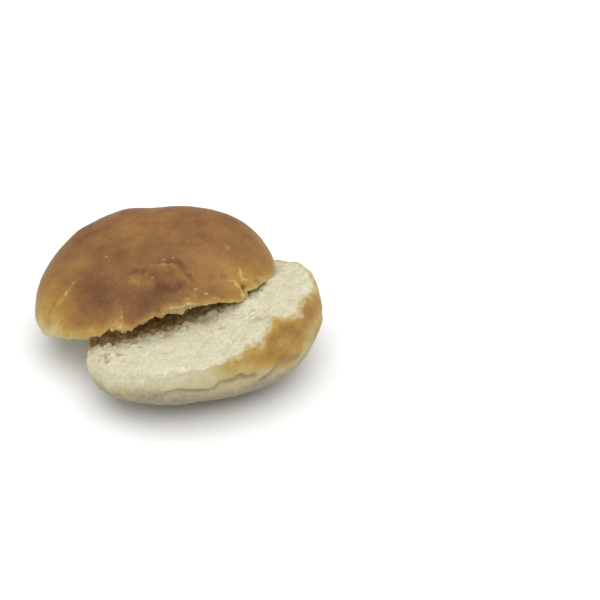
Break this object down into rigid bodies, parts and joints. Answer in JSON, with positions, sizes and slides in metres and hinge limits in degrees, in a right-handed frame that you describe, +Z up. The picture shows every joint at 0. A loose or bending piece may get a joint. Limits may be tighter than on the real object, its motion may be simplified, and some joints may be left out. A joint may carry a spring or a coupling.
{
  "type": "bread roll",
  "caption": "Round white bread roll cut across the middle, with its browned crown slid off to one side on the heel, so that the cream crumb shows.",
  "frame": {"origin": "middle of the flat spot that the heel rests on", "axes": "+Z up, square to the flat spot; +X towards the side where the heel stands tallest; the crown has slid off towards -X and +Y"},
  "size_m": [0.1248, 0.1156, 0.0506],
  "materials": {
    "crumb_and_pale_crust": "matte",
    "brown_crust": "satin"
  },
  "bodies": {
    "root": {"heel": "crumb_and_pale_crust", "crown": "brown_crust"}
  },
  "joints": []
}
